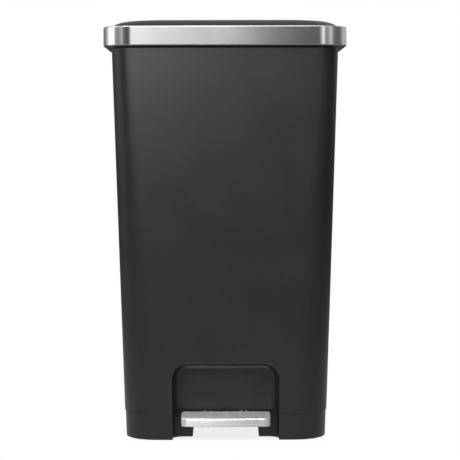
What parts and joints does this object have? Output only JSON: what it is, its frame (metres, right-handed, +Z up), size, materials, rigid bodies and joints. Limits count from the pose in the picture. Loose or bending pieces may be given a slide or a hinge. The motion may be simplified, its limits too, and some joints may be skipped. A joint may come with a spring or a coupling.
{
  "type": "pedal trash can",
  "caption": "Tall tapered plastic bin with a brushed steel rim band, a hinged domed lid and a steel foot pedal in an arched recess.",
  "frame": {"origin": "on the floor under the middle of the rim band, at the centre of the box's base", "axes": "+Z up, -Y towards the front with the pedal, +X to the right seen from the front"},
  "size_m": [0.42, 0.37, 0.73],
  "materials": {
    "charcoal_plastic": "fine moulded grain, satin",
    "black_plastic": "fine moulded grain, satin",
    "grey_plastic": "satin",
    "brushed_steel": "brushed along its length, rolled edges",
    "zinc_steel": "zinc plated",
    "black_rubber": "matt",
    "white_nylon": "natural nylon"
  },
  "bodies": {
    "root": {"body_shell": "charcoal_plastic", "base_ring": "charcoal_plastic", "rim_collar": "black_plastic", "rim_band": "brushed_steel", "rear_cover": "charcoal_plastic", "cover_screw_low_left": "zinc_steel", "cover_screw_low_right": "zinc_steel", "cover_screw_top_left": "zinc_steel", "cover_screw_top_right": "zinc_steel", "base_screw_front_left": "zinc_steel", "base_screw_front_right": "zinc_steel", "base_screw_rear_left": "zinc_steel", "base_screw_rear_right": "zinc_steel", "foot_front_left": "black_rubber", "foot_front_right": "black_rubber", "foot_rear_left": "black_rubber", "foot_rear_right": "black_rubber", "hinge_pin_left": "zinc_steel", "hinge_pin_right": "zinc_steel", "lever_axle": "zinc_steel", "axle_bush_left": "white_nylon", "axle_bush_right": "white_nylon", "axle_clip_left": "zinc_steel", "axle_clip_right": "zinc_steel", "damper_cylinder": "black_plastic", "damper_gland": "white_nylon", "lid_bumper_left": "black_rubber", "lid_bumper_right": "black_rubber", "bag_ring": "grey_plastic"},
    "lid": {"lid_shell": "black_plastic", "lid_liner": "grey_plastic", "liner_screw_front_left": "zinc_steel", "liner_screw_front_right": "zinc_steel", "liner_screw_rear_left": "zinc_steel", "liner_screw_rear_right": "zinc_steel", "lid_crank": "zinc_steel", "crank_screw_left": "zinc_steel", "crank_screw_right": "zinc_steel", "crank_pin": "zinc_steel"},
    "push_rod": {"push_rod": "zinc_steel", "rod_foot_pin": "zinc_steel"},
    "pedal": {"pedal_lever": "zinc_steel", "pedal_core": "black_plastic", "pedal_cover": "brushed_steel", "pedal_screw_left": "zinc_steel", "pedal_screw_right": "zinc_steel", "damper_pin": "zinc_steel"},
    "damper_rod": {"damper_rod": "zinc_steel"}
  },
  "joints": [
    {"name": "lid_hinge", "type": "hinge", "parent": "root", "child": "lid", "pos_m": [0, 0.178, 0.7235], "axis": [-1, 0, 0], "range_deg": [0, 80]},
    {"name": "rod_swivel", "type": "hinge", "parent": "lid", "child": "push_rod", "pos_m": [-0.01, 0.15962, 0.70807], "axis": [1, 0, 0], "range_deg": [0, 80]},
    {"name": "pedal_hinge", "type": "hinge", "parent": "root", "child": "pedal", "pos_m": [0, -0.0523, 0.04], "axis": [1, 0, 0], "range_deg": [0, 9.22]},
    {"name": "damper_slide", "type": "slide", "parent": "root", "child": "damper_rod", "axis": [0, 0, 1], "range_m": [0, 0.03086]}
  ],
  "couplings": [
    {"joint": "rod_swivel", "follows": "lid_hinge", "ratio": 1},
    {"joint": "pedal_hinge", "follows": "lid_hinge", "ratio": 0.11524},
    {"joint": "damper_slide", "follows": "lid_hinge", "m_per_rad": 0.022097}
  ]
}
